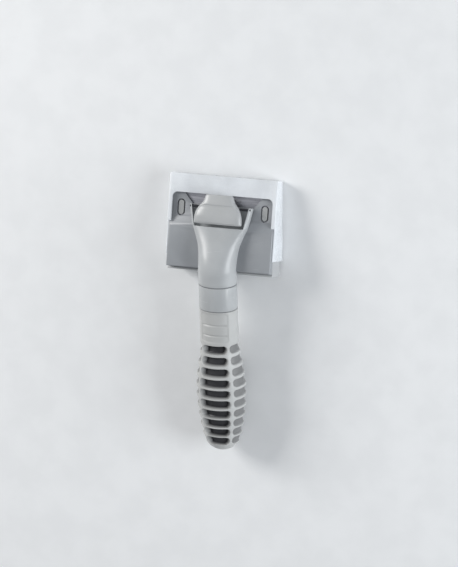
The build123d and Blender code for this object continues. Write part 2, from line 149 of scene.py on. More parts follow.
# %% Node writer
class Wiring:
    """Adds nodes to one tree; a value may be a number or another node's output."""

    def __init__(self, tree):
        self.tree = tree

    def node(self, kind, inputs=(), **settings):
        made = self.tree.nodes.new(kind)
        for key, value in settings.items():
            setattr(made, key, value)
        for key, value in dict(inputs).items():
            self.feed(made.inputs[key], value)
        return made

    def feed(self, socket, value):
        if isinstance(value, bpy.types.NodeSocket):
            self.tree.links.new(value, socket)
        else:
            socket.default_value = value

    def math(self, operation, a, b=0.0, c=0.0):
        made = self.node("ShaderNodeMath", operation=operation)
        for socket, value in zip(made.inputs, (a, b, c)):
            self.feed(socket, value)
        return made.outputs[0]

    def add(self, a, b):
        return self.math("ADD", a, b)

    def sub(self, a, b):
        return self.math("SUBTRACT", a, b)

    def mul(self, a, b):
        return self.math("MULTIPLY", a, b)

    def div(self, a, b):
        return self.math("DIVIDE", a, b)

    def least(self, a, b):
        return self.math("MINIMUM", a, b)

    def most(self, a, b):
        return self.math("MAXIMUM", a, b)

    def absolute(self, a):
        return self.math("ABSOLUTE", a)

    def ramp(self, value, low, high, out_low=0.0, out_high=1.0):
        """Smooth step from out_low to out_high as value goes from low to high."""
        made = self.node("ShaderNodeMapRange", interpolation_type="SMOOTHSTEP")
        for key, number in (("Value", value), ("From Min", low), ("From Max", high)):
            self.feed(made.inputs[key], number)
        self.feed(made.inputs["To Min"], out_low)
        self.feed(made.inputs["To Max"], out_high)
        return made.outputs["Result"]

    def rounded_box(self, x, y, half_x, half_y, radius):
        """Distance from a rounded rectangle's edge, negative inside it."""
        over_x = self.most(self.sub(self.absolute(x), self.sub(half_x, radius)), 0.0)
        over_y = self.most(self.sub(self.absolute(y), self.sub(half_y, radius)), 0.0)
        reach = self.math("SQRT", self.add(self.mul(over_x, over_x), self.mul(over_y, over_y)))
        return self.sub(reach, radius)


def new_tree(name, kind, inputs, outputs):
    """A node tree with named, typed sockets; returns it with its writer and group input."""
    tree = bpy.data.node_groups.new(name, kind)
    for label, socket, value in inputs:
        made = tree.interface.new_socket(label, in_out="INPUT", socket_type=socket)
        if value is not None:
            made.default_value = value
    for label, socket in outputs:
        tree.interface.new_socket(label, in_out="OUTPUT", socket_type=socket)
    return tree, Wiring(tree), tree.nodes.new("NodeGroupInput").outputs


# %% [markdown]
# ## Shared surface effects
# Real mouldings are never one flat grey: the colour drifts a little, the mould
# leaves a fine texture, and handling leaves faint scuffs. Each effect is a
# shader group used by several materials with its own numbers.

# %% Moulding texture group
def moulding_group():
    """Colour drift, sheen drift and a fine mould texture."""
    tree, w, given = new_tree(
        "moulding texture", "ShaderNodeTree",
        [("Light", "NodeSocketColor", (0.5, 0.5, 0.5, 1)), ("Dark", "NodeSocketColor", (0.4, 0.4, 0.4, 1)),
         ("Sheen Low", "NodeSocketFloat", 0.3), ("Sheen High", "NodeSocketFloat", 0.45),
         ("Drift Scale", "NodeSocketFloat", 45.0), ("Grain Scale", "NodeSocketFloat", 2600.0)],
        [("Color", "NodeSocketColor"), ("Roughness", "NodeSocketFloat"), ("Height", "NodeSocketFloat")])
    where = w.node("ShaderNodeTexCoord").outputs["Object"]
    drift = w.node("ShaderNodeTexNoise", {"Vector": where, "Scale": given["Drift Scale"], "Detail": 4.0})
    grain = w.node("ShaderNodeTexNoise", {"Vector": where, "Scale": given["Grain Scale"], "Detail": 2.0})
    tone = w.ramp(drift.outputs["Fac"], 0.32, 0.68)
    blend = w.node("ShaderNodeMix", data_type="RGBA")
    w.feed(blend.inputs["Factor"], w.add(w.mul(tone, 0.8), w.mul(grain.outputs["Fac"], 0.2)))
    w.feed(blend.inputs["A"], given["Dark"])
    w.feed(blend.inputs["B"], given["Light"])
    sheen = w.ramp(grain.outputs["Fac"], 0.3, 0.7, given["Sheen Low"], given["Sheen High"])
    end = w.node("NodeGroupOutput")
    w.feed(end.inputs["Color"], blend.outputs["Result"])
    w.feed(end.inputs["Roughness"], sheen)
    w.feed(end.inputs["Height"], grain.outputs["Fac"])
    return tree


# %% [markdown]
# ## Scuffs from handling
# A tool that is gripped wet picks up thin scratches in patches. Stretched noise
# makes the lines and a second, slower noise keeps them to a few places.

# %% Handling scuffs group
def scuff_group():
    """Thin, sparse scratches that lift the colour and break the sheen."""
    tree, w, given = new_tree(
        "handling scuffs", "ShaderNodeTree",
        [("Color", "NodeSocketColor", (0.5, 0.5, 0.5, 1)), ("Scuff", "NodeSocketColor", (0.7, 0.7, 0.7, 1)),
         ("Roughness", "NodeSocketFloat", 0.4), ("Amount", "NodeSocketFloat", 0.3)],
        [("Color", "NodeSocketColor"), ("Roughness", "NodeSocketFloat")])
    where = w.node("ShaderNodeTexCoord").outputs["Object"]
    stretch = w.node("ShaderNodeMapping", {"Vector": where})
    stretch.inputs["Rotation"].default_value = (0.2, 0.1, 0.6)
    stretch.inputs["Scale"].default_value = (90.0, 1400.0, 400.0)
    lines = w.node("ShaderNodeTexNoise", {"Vector": stretch.outputs["Vector"], "Scale": 1.0, "Detail": 3.0})
    patch = w.node("ShaderNodeTexNoise", {"Vector": where, "Scale": 70.0, "Detail": 1.0})
    mask = w.mul(w.ramp(lines.outputs["Fac"], 0.60, 0.74), w.ramp(patch.outputs["Fac"], 0.48, 0.66))
    mask = w.mul(mask, given["Amount"])
    blend = w.node("ShaderNodeMix", data_type="RGBA")
    w.feed(blend.inputs["Factor"], mask)
    w.feed(blend.inputs["A"], given["Color"])
    w.feed(blend.inputs["B"], given["Scuff"])
    end = w.node("NodeGroupOutput")
    w.feed(end.inputs["Color"], blend.outputs["Result"])
    w.feed(end.inputs["Roughness"], w.add(given["Roughness"], w.mul(mask, 0.3)))
    return tree


# %% [markdown]
# ## Drawn and ground steel
# Rolled and ground steel shows fine lines along one direction. Noise stretched
# hard along one axis gives them without an image.

# %% Drawn steel group
def steel_group():
    """Fine parallel draw lines with a slow change of tone."""
    tree, w, given = new_tree(
        "drawn steel", "ShaderNodeTree",
        [("Light", "NodeSocketColor", (0.6, 0.6, 0.6, 1)), ("Dark", "NodeSocketColor", (0.4, 0.4, 0.4, 1)),
         ("Across", "NodeSocketFloat", 3000.0), ("Along", "NodeSocketFloat", 60.0)],
        [("Color", "NodeSocketColor"), ("Roughness", "NodeSocketFloat"), ("Height", "NodeSocketFloat")])
    where = w.node("ShaderNodeTexCoord").outputs["Object"]
    parts = w.node("ShaderNodeSeparateXYZ", {"Vector": where})
    drawn = w.node("ShaderNodeCombineXYZ")
    w.feed(drawn.inputs["X"], w.mul(parts.outputs["X"], given["Along"]))
    w.feed(drawn.inputs["Y"], w.mul(parts.outputs["Y"], given["Across"]))
    w.feed(drawn.inputs["Z"], w.mul(parts.outputs["Z"], given["Across"]))
    lines = w.node("ShaderNodeTexNoise", {"Vector": drawn.outputs["Vector"], "Scale": 1.0, "Detail": 3.0})
    blend = w.node("ShaderNodeMix", data_type="RGBA")
    w.feed(blend.inputs["Factor"], w.ramp(lines.outputs["Fac"], 0.3, 0.7))
    w.feed(blend.inputs["A"], given["Dark"])
    w.feed(blend.inputs["B"], given["Light"])
    end = w.node("NodeGroupOutput")
    w.feed(end.inputs["Color"], blend.outputs["Result"])
    w.feed(end.inputs["Roughness"], w.ramp(lines.outputs["Fac"], 0.2, 0.8, 0.24, 0.44))
    w.feed(end.inputs["Height"], lines.outputs["Fac"])
    return tree


MOULDING = moulding_group()
SCUFFS = scuff_group()
STEEL = steel_group()
print("shared groups", [g.name for g in (MOULDING, SCUFFS, STEEL)])

# %% [markdown]
# ## Finishes
# The grey mouldings are satin plastic, the cage is a lighter and softer
# plastic, the core is almost black, the seals and pads are rubber, and the
# guard is a milky moulding that lets the head show through.

# %% Material makers
def start_material(name):
    """An empty node material with its surface shader."""
    made = bpy.data.materials.new(name)
    made.use_nodes = True
    return made, Wiring(made.node_tree), made.node_tree.nodes["Principled BSDF"]


def bumped(w, height, distance, strength):
    """Fine relief for the surface's normal."""
    bump = w.node("ShaderNodeBump", {"Height": height, "Distance": distance, "Strength": strength})
    return bump.outputs["Normal"]


def moulded(name, light, dark, sheen=(0.34, 0.46), grain=2600.0, scuff=0.35, relief=0.25):
    """A moulded plastic or rubber: drift, mould texture and handling scuffs."""
    made, w, surface = start_material(name)
    base = w.node("ShaderNodeGroup", node_tree=MOULDING)
    for key, value in (("Light", (*light, 1)), ("Dark", (*dark, 1)), ("Sheen Low", sheen[0]),
                       ("Sheen High", sheen[1]), ("Grain Scale", grain)):
        base.inputs[key].default_value = value
    worn = w.node("ShaderNodeGroup", node_tree=SCUFFS)
    w.feed(worn.inputs["Color"], base.outputs["Color"])
    w.feed(worn.inputs["Roughness"], base.outputs["Roughness"])
    worn.inputs["Scuff"].default_value = (*[min(1.0, c * 1.35 + 0.03) for c in light], 1)
    worn.inputs["Amount"].default_value = scuff
    w.feed(surface.inputs["Base Color"], worn.outputs["Color"])
    w.feed(surface.inputs["Roughness"], worn.outputs["Roughness"])
    w.feed(surface.inputs["Normal"], bumped(w, base.outputs["Height"], 0.00006, relief))
    return made


def drawn_metal(name, light, dark, across=3000.0):
    """Steel with draw lines."""
    made, w, surface = start_material(name)
    base = w.node("ShaderNodeGroup", node_tree=STEEL)
    for key, value in (("Light", (*light, 1)), ("Dark", (*dark, 1)), ("Across", across)):
        base.inputs[key].default_value = value
    w.feed(surface.inputs["Base Color"], base.outputs["Color"])
    w.feed(surface.inputs["Roughness"], base.outputs["Roughness"])
    surface.inputs["Metallic"].default_value = 0.9
    w.feed(surface.inputs["Normal"], bumped(w, base.outputs["Height"], 0.00003, 0.2))
    return made


def milky(name, light, dark, alpha):
    """A translucent moulding, a little denser in places."""
    made = moulded(name, light, dark, sheen=(0.2, 0.32), scuff=0.25, relief=0.12)
    w = Wiring(made.node_tree)
    where = w.node("ShaderNodeTexCoord").outputs["Object"]
    cloud = w.node("ShaderNodeTexNoise", {"Vector": where, "Scale": 60.0, "Detail": 3.0})
    density = w.ramp(cloud.outputs["Fac"], 0.3, 0.7, alpha[0], alpha[1])
    w.feed(made.node_tree.nodes["Principled BSDF"].inputs["Alpha"], density)
    return made


def painted_recess_shade(made):
    """Paints shade into a finish: mixes it towards near black by a point attribute, the painted shade of the
    cage's window walls and pocket floors.
    """
    w = Wiring(made.node_tree)
    surface = made.node_tree.nodes["Principled BSDF"]
    colour = surface.inputs["Base Color"].links[0].from_socket
    painted_shade = w.node("ShaderNodeAttribute", attribute_name="painted_shade")
    blend = w.node("ShaderNodeMix", data_type="RGBA")
    w.feed(blend.inputs["Factor"], painted_shade.outputs["Fac"])
    w.feed(blend.inputs["A"], colour)
    # Painted shade: the near-black colour that window walls and pocket floors are mixed towards.
    blend.inputs["B"].default_value = (0.035, 0.035, 0.04, 1)
    w.feed(surface.inputs["Base Color"], blend.outputs["Result"])
    return made


# %% [markdown]
# ## One finish for each real material
# The mouldings differ only in tone and sheen, so one maker serves them all with
# its own numbers. Steel and the milky guard need makers of their own.

# %% The finishes themselves
housing_grey = moulded("housing grey", (0.325, 0.34, 0.36), (0.28, 0.295, 0.315))
back_grey = moulded("back shell grey", (0.47, 0.48, 0.49), (0.41, 0.42, 0.43))
neck_grey = moulded("neck grey", (0.45, 0.465, 0.475), (0.40, 0.415, 0.425), sheen=(0.28, 0.38))
lever_grey = moulded("lever grey", (0.46, 0.47, 0.475), (0.41, 0.42, 0.425), sheen=(0.28, 0.38))
plain_cage = moulded("cage grey", (0.50, 0.505, 0.50), (0.44, 0.445, 0.44), sheen=(0.36, 0.5), grain=3400.0)
# The cage's grey finish, with painted shade in its window walls and pocket floors.
cage_grey = painted_recess_shade(plain_cage)
core_black = moulded("core black", (0.035, 0.035, 0.04), (0.018, 0.018, 0.021), sheen=(0.5, 0.65), scuff=0.1)
peg_grey = moulded("peg grey", (0.42, 0.43, 0.43), (0.36, 0.37, 0.37), scuff=0.2)
seal_grey = moulded("seal rubber", (0.22, 0.225, 0.235), (0.17, 0.175, 0.185), sheen=(0.6, 0.75), scuff=0.1)
pad_black = moulded("pad rubber", (0.07, 0.07, 0.075), (0.04, 0.04, 0.045), sheen=(0.65, 0.8), scuff=0.1)
blade_steel = drawn_metal("blade steel", (0.62, 0.62, 0.66), (0.44, 0.44, 0.48), across=4200.0)
screw_steel = drawn_metal("screw steel", (0.62, 0.62, 0.63), (0.45, 0.45, 0.46))
wire_steel = drawn_metal("wire steel", (0.5, 0.5, 0.52), (0.34, 0.34, 0.36))
# The pin is painted near black as painted shade of the gap under the notch edge, where it shows.
shade_dark_pin_steel = drawn_metal("pin steel with painted shade", (0.10, 0.10, 0.11), (0.06, 0.06, 0.07))
guard_milk = milky("guard milk", (0.90, 0.93, 0.96), (0.84, 0.87, 0.91), (0.66, 0.80))
floor_paint = moulded("pale floor paint", (0.84, 0.85, 0.86), (0.80, 0.81, 0.82), sheen=(0.7, 0.8), scuff=0.0)

floor_mesh = bpy.data.meshes.new("floor")
floor_mesh.from_pydata([(-6, -6, 0), (6, -6, 0), (6, 6, 0), (-6, 6, 0)], [], [(0, 1, 2, 3)])
floor_mesh.materials.append(floor_paint)
floor = bpy.data.objects.new("floor", floor_mesh)
floor.location.z = -0.0004
bpy.context.scene.collection.objects.link(floor)
print("finishes", len(bpy.data.materials))


# %% [markdown]
# ## Placing a finished piece
# Every piece is a plain mesh at the origin with its place in its points. It
# stands for one imported node and rides on that node's body.

# %% Piece helpers
BODY_OF = {n: body for body, names in frame["record"]["behaviour"]["bodies"].items() for n in names}


def settle(piece, node, body=None):
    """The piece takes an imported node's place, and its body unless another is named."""
    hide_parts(node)
    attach(piece, body or BODY_OF[node])
    print(piece.name, len(piece.data.polygons), "faces, stands for", node)


def link_mesh(name, mesh, materials, smooth_angle=35.0):
    """A linked object whose faces are smooth except across sharp edges."""
    for material in materials:
        mesh.materials.append(material)
    mesh.shade_smooth()
    mesh.set_sharp_from_angle(angle=math.radians(smooth_angle))
    piece = bpy.data.objects.new(name, mesh)
    bpy.context.scene.collection.objects.link(piece)
    return piece


def baked(piece):
    """Turns the object's modifiers into plain mesh."""
    graph = bpy.context.evaluated_depsgraph_get()
    mesh = bpy.data.meshes.new_from_object(piece.evaluated_get(graph))
    piece.modifiers.clear()
    piece.data = mesh


# %% [markdown]
# ## The ribbed cage
# The grip is a soft sleeve with ten openings front and back and shallow
# pockets at its sides, so dark core shows between pale ribs. It could be
# modelled rib by rib, but its shape follows one rule: a rounded window at each
# step of a slowly closing pitch. A geometry tree states that rule once. An
# outer and an inner skin share one grid, the window floors are removed from
# both, and the two skins meet at the window rims.

# %% Sizes of the cage
CAGE = {
    "Start": 25.6, "Straight End": 111.0, "Tail Round": 13.0, "Tail Arc": 20.0, "Wall": 3.6,
    "Widest": 32.9, "Depth Share": 0.88, "First Window": 51.6, "Pitch": 7.65, "Pitch Loss": 0.15,
    "Window Half Height": 2.6, "Window Share": 0.62, "Pocket Share": 0.66, "Pocket Depth": 1.1,
}
LAST_WINDOW = 9.0
# How far the side pockets' floors are darkened: painted shade for these shallow recesses.
POCKET_SHADE = 0.66
RIM_AT = -0.2
# Wall points stop this far short of the inner skin, so that only the rims are welded to it.
WELD_ROOM = 0.05
CAGE_COLUMNS = 176
CAGE_ROWS = 262
WIDTH_POINTS = (
    (25.6, 25.4), (40.0, 25.3), (52.8, 25.9), (66.0, 30.4), (81.6, 32.9), (102.8, 29.2), (111.0, 25.6))
GROOVES = (34.9, 41.8)
GROOVE_SHARE, GROOVE_HALF_HEIGHT, GROOVE_ROUND, GROOVE_DEPTH = 0.66, 0.5, 0.4, 0.5
PANEL_AT, PANEL_SHARE, PANEL_HALF_HEIGHT, PANEL_ROUND, PANEL_DEPTH = 36.6, 0.72, 10.0, 2.0, 0.35
CORNER_SHARE = 0.8
WELD_DISTANCE = 0.004


# %% [markdown]
# ## The rule as a tree
# The grid's two directions become the angle round the grip and the way along it.
# The nearest window is found from the closing pitch, and a rounded box round it
# says how deep each point goes.

# %% The cage's tree
def cage_tree(inner):
    """One skin of the cage: the outer one carries the windows' walls, the inner one is plain."""
    tree, w, given = new_tree(
        "cage inner skin" if inner else "cage outer skin", "GeometryNodeTree",
        [(label, "NodeSocketFloat", value) for label, value in CAGE.items()],
        [("Geometry", "NodeSocketGeometry")])
    grid = w.node("GeometryNodeMeshGrid", {"Size X": 1.0, "Size Y": 1.0})
    grid.inputs["Vertices X"].default_value = CAGE_COLUMNS + 1
    grid.inputs["Vertices Y"].default_value = CAGE_ROWS + 1
    place = w.node("ShaderNodeSeparateXYZ", {"Vector": w.node("GeometryNodeInputPosition").outputs[0]})
    turn_share = w.add(place.outputs["X"], 0.5)
    angle = w.mul(turn_share, 2 * math.pi)
    straight = w.sub(given["Straight End"], given["Start"])
    whole = w.add(w.add(straight, given["Tail Arc"]), given["Wall"])
    path = w.sub(w.mul(w.add(place.outputs["Y"], 0.5), whole), given["Wall"])
    along = w.most(w.least(path, straight), 0.0)
    tail = w.mul(w.most(w.div(w.sub(path, straight), given["Tail Arc"]), 0.0), math.pi / 2)
    past = w.mul(w.math("SINE", tail), given["Tail Round"])
    t = w.add(w.add(given["Start"], along), past)
    profile = w.node("ShaderNodeFloatCurve", {"Value": w.div(along, straight)})
    curve = profile.mapping.curves[0]
    span = CAGE["Straight End"] - CAGE["Start"]
    places = [((at - CAGE["Start"]) / span, width / CAGE["Widest"]) for at, width in WIDTH_POINTS]
    curve.points[0].location = places[0]
    curve.points[1].location = places[-1]
    for spot in places[1:-1]:
        curve.points.new(*spot)
    profile.mapping.update()
    full_half = w.mul(w.mul(profile.outputs[0], given["Widest"]), 0.5)
    half = w.mul(full_half, w.math("COSINE", tail))
    sine = w.math("SINE", angle)
    cosine = w.math("COSINE", angle)
    # nearest window, from the closing pitch
    step = w.add(given["Pitch"], w.mul(given["Pitch Loss"], 0.5))
    from_first = w.sub(t, given["First Window"])
    closed_up = w.mul(w.mul(given["Pitch Loss"], 2.0), from_first)
    root = w.math("SQRT", w.most(w.sub(w.mul(step, step), closed_up), 0.0))
    index = w.math("ROUND", w.div(w.sub(step, root), given["Pitch Loss"]))
    index = w.most(w.least(index, LAST_WINDOW), 0.0)
    closing = w.mul(w.mul(w.mul(index, w.sub(index, 1.0)), given["Pitch Loss"]), 0.5)
    off = w.sub(from_first, w.sub(w.mul(index, given["Pitch"]), closing))
    high = given["Window Half Height"]
    corner = w.mul(high, CORNER_SHARE)
    window = w.rounded_box(w.mul(half, sine), off, w.mul(half, given["Window Share"]), high, corner)
    pocket = w.rounded_box(w.mul(half, cosine), off, w.mul(half, given["Pocket Share"]), high, corner)
    open_window = w.ramp(window, 0.25, RIM_AT)
    floor_here = w.math("LESS_THAN", window, RIM_AT)
    sloping = w.mul(open_window, w.sub(given["Wall"], WELD_ROOM))
    depth = w.most(sloping, w.mul(floor_here, given["Wall"]))
    shallow = w.ramp(pocket, 0.3, -0.5)
    depth = w.most(depth, w.mul(shallow, given["Pocket Depth"]))
    # Painted shade: full on the window walls, part way on the pocket floors.
    painted_shade = w.most(open_window, w.mul(shallow, POCKET_SHADE))
    front = w.ramp(cosine, 0.0, 0.15)
    for at in GROOVES:
        wide = w.mul(half, GROOVE_SHARE)
        line = w.rounded_box(w.mul(half, sine), w.sub(t, at), wide, GROOVE_HALF_HEIGHT, GROOVE_ROUND)
        depth = w.add(depth, w.mul(w.mul(w.ramp(line, 0.2, -0.35), front), GROOVE_DEPTH))
    wide = w.mul(half, PANEL_SHARE)
    panel = w.rounded_box(w.mul(half, sine), w.sub(t, PANEL_AT), wide, PANEL_HALF_HEIGHT, PANEL_ROUND)
    depth = w.add(depth, w.mul(w.mul(w.ramp(panel, 0.3, -0.4), front), PANEL_DEPTH))
    end_face = w.most(w.mul(path, -1.0), 0.0)
    if inner:
        inset = given["Wall"]
        t = w.least(t, given["Straight End"])
        reach = w.mul(w.sub(full_half, inset), w.math("COSINE", tail))
        flat = w.mul(w.sub(w.mul(full_half, given["Depth Share"]), inset), w.math("COSINE", tail))
        x = w.mul(reach, sine)
        y = w.mul(flat, cosine)
    else:
        short = w.sub(given["Wall"], w.mul(w.sub(1.0, floor_here), WELD_ROOM))
        inset = w.most(w.least(depth, short), w.least(end_face, given["Wall"]))
        x = w.mul(w.sub(half, w.mul(inset, w.math("COSINE", tail))), sine)
        y = w.mul(w.sub(w.mul(half, given["Depth Share"]), w.mul(inset, w.math("COSINE", tail))), cosine)
    spot = w.node("ShaderNodeCombineXYZ", {"X": x, "Y": y, "Z": t})
    keep_floor = w.math("GREATER_THAN", w.add(w.add(given["Start"], along), past), given["Straight End"])
    open_here = w.mul(floor_here, w.sub(1.0, keep_floor))
    moved = w.node("GeometryNodeSetPosition", {"Geometry": grid.outputs["Mesh"], "Position": spot.outputs[0]})
    # positions change below, so the masks are captured on the flat grid first
    caught = w.node("GeometryNodeCaptureAttribute", domain="POINT")
    caught.capture_items.new("FLOAT", "Open")
    caught.capture_items.new("FLOAT", "Floor")
    caught.capture_items.new("FLOAT", "Thin")
    w.feed(caught.inputs[0], grid.outputs["Mesh"])
    w.feed(caught.inputs["Open"], open_here)
    w.feed(caught.inputs["Floor"], floor_here)
    w.feed(caught.inputs["Thin"], painted_shade)
    w.feed(moved.inputs["Geometry"], caught.outputs[0])
    cut = w.node("GeometryNodeDeleteGeometry", {"Geometry": moved.outputs[0]}, domain="FACE")
    w.feed(cut.inputs["Selection"], w.math("GREATER_THAN", caught.outputs["Open"], 0.99))
    # The painted shade rides on the points as a named attribute for the cage's finish.
    marked = w.node("GeometryNodeStoreNamedAttribute", {"Geometry": cut.outputs[0], "Name": "painted_shade"},
                    data_type="FLOAT", domain="POINT")
    w.feed(marked.inputs["Value"], caught.outputs["Thin"])
    real = w.node("GeometryNodeRealizeInstances", {"Geometry": marked.outputs[0]})
    whole_skin = w.node("GeometryNodeSetMaterial", {"Geometry": real.outputs[0], "Material": cage_grey})
    # Window floors left in the solid tail take the core's near-black finish as painted shade of their deep recess.
    floors = w.node("GeometryNodeSetMaterial", {"Geometry": whole_skin.outputs[0], "Material": core_black})
    w.feed(floors.inputs["Selection"], w.math("GREATER_THAN", caught.outputs["Floor"], 0.99))
    w.feed(w.node("NodeGroupOutput").inputs["Geometry"], floors.outputs[0])
    return tree


# %% [markdown]
# ## From rule to plain mesh
# Each tree is evaluated once and kept as plain mesh. Welding the two skins at the
# rims closes the sleeve, and counting edges without two faces proves it.

# %% Grow both skins and join them
def grown(name, tree, values):
    """Evaluates a geometry tree on an empty mesh and returns the plain mesh."""
    seed = bpy.data.objects.new(name, bpy.data.meshes.new(name))
    bpy.context.scene.collection.objects.link(seed)
    modifier = seed.modifiers.new("rule", "NODES")
    modifier.node_group = tree
    for item in tree.interface.items_tree:
        if item.in_out == "INPUT" and item.name in values:
            modifier[item.identifier] = values[item.name]
    graph = bpy.context.evaluated_depsgraph_get()
    mesh = bpy.data.meshes.new_from_object(seed.evaluated_get(graph))
    bpy.data.objects.remove(seed)
    return mesh


HANDLE_FRAME = Matrix((ACROSS, HANDLE_OUT, TAILWARD)).transposed().to_4x4()
TO_HANDLE = Matrix.Translation(ROOT) @ HANDLE_FRAME @ Matrix.Scale(MM, 4)


def make_cage():
    """Both skins welded into one closed sleeve."""
    joined = bmesh.new()
    for inner in (False, True):
        skin = grown("cage skin", cage_tree(inner), CAGE)
        order = [int(m is not None and m.name == core_black.name) for m in skin.materials]
        print("cage skin", len(skin.polygons), "faces, core slots", sum(order))
        kept = [order[face.material_index] for face in skin.polygons]
        skin.polygons.foreach_set("material_index", kept)
        joined.from_mesh(skin)
    bmesh.ops.remove_doubles(joined, verts=joined.verts, dist=WELD_DISTANCE)
    bmesh.ops.recalc_face_normals(joined, faces=joined.faces)
    loose = sum(1 for e in joined.edges if len(e.link_faces) != 2)
    mesh = bpy.data.meshes.new("ribbed_cage")
    joined.to_mesh(mesh)
    joined.free()
    mesh.transform(TO_HANDLE)
    print("cage edges without two faces", loose)
    return link_mesh("ribbed_cage", mesh, (cage_grey, core_black), 50.0)


settle(make_cage(), "grip_sleeve")

# %% [markdown]
# ## Skins over changing sections
# The neck and the lever are smooth swellings. A loft through a few rounded
# sections, eased between them, gives that softness, where joined boxes would
# leave creases. Each section is a rounded box whose squareness can change.

# %% Loft helper
AROUND = 96


def eased(rows, at):
    """Numbers between the listed rows, along a smooth curve through all of them."""
    k = min(int(at), len(rows) - 2)
    f = at - k
    before, here = rows[max(k - 1, 0)], rows[k]
    after, beyond = rows[k + 1], rows[min(k + 2, len(rows) - 1)]
    smooth = []
    for a, b, c, d in zip(before, here, after, beyond):
        bent = (2 * a - 5 * b + 4 * c - d) * f * f + (3 * b - a - 3 * c + d) * f ** 3
        smooth.append(0.5 * (2 * b + (c - a) * f + bent))
    return smooth


def section(row, shrink=0.0):
    """Ring of points: place v and h, lean, half width, rise, fall and squareness."""
    v, h, lean, half, rise, fall, square = row
    ring = []
    for k in range(AROUND):
        angle = 2 * math.pi * k / AROUND
        side = math.copysign(abs(math.cos(angle)) ** (2 / square), math.cos(angle))
        out = math.copysign(abs(math.sin(angle)) ** (2 / square), math.sin(angle))
        up = out * ((rise if out > 0 else fall) - shrink)
        ring.append(on_head(side * (half - shrink), v - up * math.sin(lean), h + up * math.cos(lean)))
    return ring


def lofted(name, rows, steps, round_end, material):
    """A closed skin through the rows, with softened ends."""
    rings = []
    last = len(rows) - 1
    for k in range(5):
        shift = round_end * (1 - math.cos(math.pi / 2 * k / 4))
        row = list(rows[0])
        row[0] += shift
        rings.append(section(row, round_end * (1 - math.sin(math.pi / 2 * k / 4))))
    for k in range(1, steps):
        row = eased(rows, last * k / steps)
        if rows[0][0] + round_end < row[0] < rows[-1][0] - round_end:
            rings.append(section(row))
    for k in range(4, -1, -1):
        row = list(rows[-1])
        row[0] -= round_end * (1 - math.cos(math.pi / 2 * k / 4))
        rings.append(section(row, round_end * (1 - math.sin(math.pi / 2 * k / 4))))
    points = [p for ring in rings for p in ring]
    faces = []
    for r in range(len(rings) - 1):
        for k in range(AROUND):
            a, b = r * AROUND + k, r * AROUND + (k + 1) % AROUND
            faces.append((a, b, b + AROUND, a + AROUND))
    faces.append(tuple(range(AROUND)))
    faces.append(tuple(range((len(rings) - 1) * AROUND, len(rings) * AROUND)))
    mesh = bpy.data.meshes.new(name)
    mesh.from_pydata(points, [], faces)
    tidy = bmesh.new()
    tidy.from_mesh(mesh)
    bmesh.ops.recalc_face_normals(tidy, faces=tidy.faces)
    tidy.to_mesh(mesh)
    tidy.free()
    return link_mesh(name, mesh, (material,))


def block(name, outline, low, high):
    """A plain cutter with an outline in the head's plane; it never stays in the scene."""
    count = len(outline)
    points = [on_head(u, v, h) for h in (low, high) for u, v in outline]
    faces = [tuple(reversed(range(count))), tuple(range(count, 2 * count))]
    faces += [(k, (k + 1) % count, (k + 1) % count + count, k + count) for k in range(count)]
    mesh = bpy.data.meshes.new(name)
    mesh.from_pydata(points, [], faces)
    cutter = bpy.data.objects.new(name, mesh)
    bpy.context.scene.collection.objects.link(cutter)
    return cutter


def carve(piece, cutter):
    """Takes the cutter out of the piece for good."""
    cut = piece.modifiers.new("carve", "BOOLEAN")
    cut.object = cutter
    cut.solver = "EXACT"
    baked(piece)
    bpy.data.objects.remove(cutter)


def softened(piece, width, segments=3, angle=40.0):
    """Rounds the sharp edges as a mould would."""
    bevel = piece.modifiers.new("soft edges", "BEVEL")
    bevel.width = width * MM
    bevel.segments = segments
    bevel.limit_method = "ANGLE"
    bevel.angle_limit = math.radians(angle)
    bevel.harden_normals = False
    baked(piece)


# %% [markdown]
# ## Neck and mound
# One moulding runs from the round neck over the head's face, spreads and
# flattens towards the blade, and ends in two rims that hold the lever's pin.
# The lever's pocket is carved out of the smooth loft afterwards.

# %% Neck and mound
NECK_END = 8.8
NECK_HALF, NECK_DEPTH = 12.6, 11.09
MOUND_END = 41.6
sink = math.sin(BEND)
neck_rows = [
    (-NECK_END * math.cos(BEND), -NECK_END * sink, BEND, NECK_HALF, NECK_DEPTH, NECK_DEPTH, 2.0),
    (-4.4, -4.4 * sink, BEND, NECK_HALF, NECK_DEPTH, NECK_DEPTH, 2.0),
    (1.0, 0.0, BEND * 0.7, 12.7, 11.5, 10.0, 2.1),
    (7.0, 0.0, BEND * 0.3, 12.9, 11.5, 4.0, 2.2),
    (15.0, 0.0, 0.0, 13.9, 9.8, 3.0, 2.4),
    (22.0, 0.0, 0.0, 16.2, 7.9, 2.0, 2.7),
    (28.0, 0.0, 0.0, 18.6, 6.5, 1.5, 3.0),
    (35.0, 0.0, 0.0, 20.4, 5.5, 1.2, 3.3),
    (MOUND_END, 0.0, 0.0, 21.6, 4.8, 1.0, 3.6),
]
POCKET_FROM, POCKET_FLOOR = 27.6, 0.8
pocket_outline = [(-16.9, POCKET_FROM), (16.9, POCKET_FROM), (20.0, MOUND_END + 2), (-20.0, MOUND_END + 2)]
neck = lofted("neck_and_mound", neck_rows, 90, 0.5, neck_grey)
carve(neck, block("pocket cutter", pocket_outline, POCKET_FLOOR, 20.0))
neck.data.shade_smooth()
neck.data.set_sharp_from_angle(angle=math.radians(35))
settle(neck, "neck_body")

# %% [markdown]
# ## Clamp lever
# The thumb presses a wide crowned dome; past the pin the lever narrows to a
# tab that bears on the blade. A crease marks the change, so the loft's
# sections come close together there.

